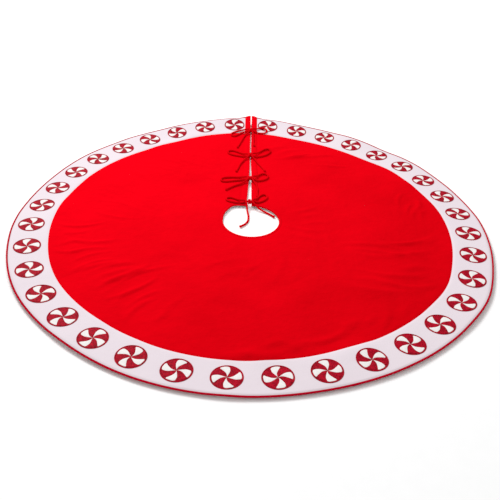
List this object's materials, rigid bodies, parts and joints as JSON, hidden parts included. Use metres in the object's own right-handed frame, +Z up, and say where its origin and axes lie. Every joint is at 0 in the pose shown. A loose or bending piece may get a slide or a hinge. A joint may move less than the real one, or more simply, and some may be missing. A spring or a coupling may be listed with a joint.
{
  "type": "tree skirt",
  "caption": "Round quilted cloth tree skirt with a trunk hole, a slit tied shut by cord bows, a piped pale border and a ring of embroidered peppermint discs.",
  "frame": {"origin": "middle of the trunk hole, on the floor under the lining", "axes": "+Z up, +Y along the slit away from the trunk hole, +X to the right of the slit seen from above with the slit at the top"},
  "size_m": [1.3208, 1.3268, 0.0194],
  "materials": {
    "red_cloth": "smooth bright red woven polyester",
    "white_cloth": "matt off-white woven cloth",
    "lining": "plain red backing cloth",
    "wadding": "thin needled polyester fleece",
    "piping": "red bias cloth over cord",
    "binding": "red bias strip",
    "placket": "folded red cloth strip",
    "embroidery": "red and cream embroidery thread",
    "tie_cord": "narrow sewn red cord"
  },
  "bodies": {
    "skirt_body": {"hole_binding_main": "binding", "lining_main": "lining", "mint_05": "embroidery", "mint_06": "embroidery", "mint_07": "embroidery", "mint_08": "embroidery", "mint_09": "embroidery", "mint_10": "embroidery", "mint_11": "embroidery", "mint_12": "embroidery", "mint_13": "embroidery", "mint_14": "embroidery", "mint_15": "embroidery", "mint_16": "embroidery", "mint_17": "embroidery", "mint_18": "embroidery", "mint_19": "embroidery", "mint_20": "embroidery", "mint_21": "embroidery", "mint_22": "embroidery", "mint_23": "embroidery", "mint_24": "embroidery", "mint_25": "embroidery", "mint_26": "embroidery", "mint_27": "embroidery", "mint_28": "embroidery", "mint_29": "embroidery", "mint_30": "embroidery", "mint_31": "embroidery", "mint_32": "embroidery", "piping_main": "piping", "red_centre_main": "red_cloth", "wadding_main": "wadding", "white_border_main": "white_cloth"},
    "left_flap": {"hole_binding_left": "binding", "lining_left": "lining", "mints_left": "embroidery", "piping_left": "piping", "placket_left": "placket", "red_centre_left": "red_cloth", "tie_left_1": "tie_cord", "tie_left_2": "tie_cord", "tie_left_3": "tie_cord", "tie_left_4": "tie_cord", "wadding_left": "wadding", "white_border_left": "white_cloth"},
    "right_flap": {"hole_binding_right": "binding", "lining_right": "lining", "mints_right": "embroidery", "piping_right": "piping", "placket_right": "placket", "red_centre_right": "red_cloth", "tie_right_1": "tie_cord", "tie_right_2": "tie_cord", "tie_right_3": "tie_cord", "tie_right_4": "tie_cord", "wadding_right": "wadding", "white_border_right": "white_cloth"}
  },
  "joints": [
    {"name": "left_flap_fold", "type": "hinge", "parent": "skirt_body", "child": "left_flap", "pos_m": [0, 0, 0.015], "axis": [0.6502, -0.7597, 0], "range_deg": [0, 180]},
    {"name": "right_flap_fold", "type": "hinge", "parent": "skirt_body", "child": "right_flap", "pos_m": [0, 0, 0.015], "axis": [0.6502, 0.7597, 0], "range_deg": [0, 180]}
  ]
}
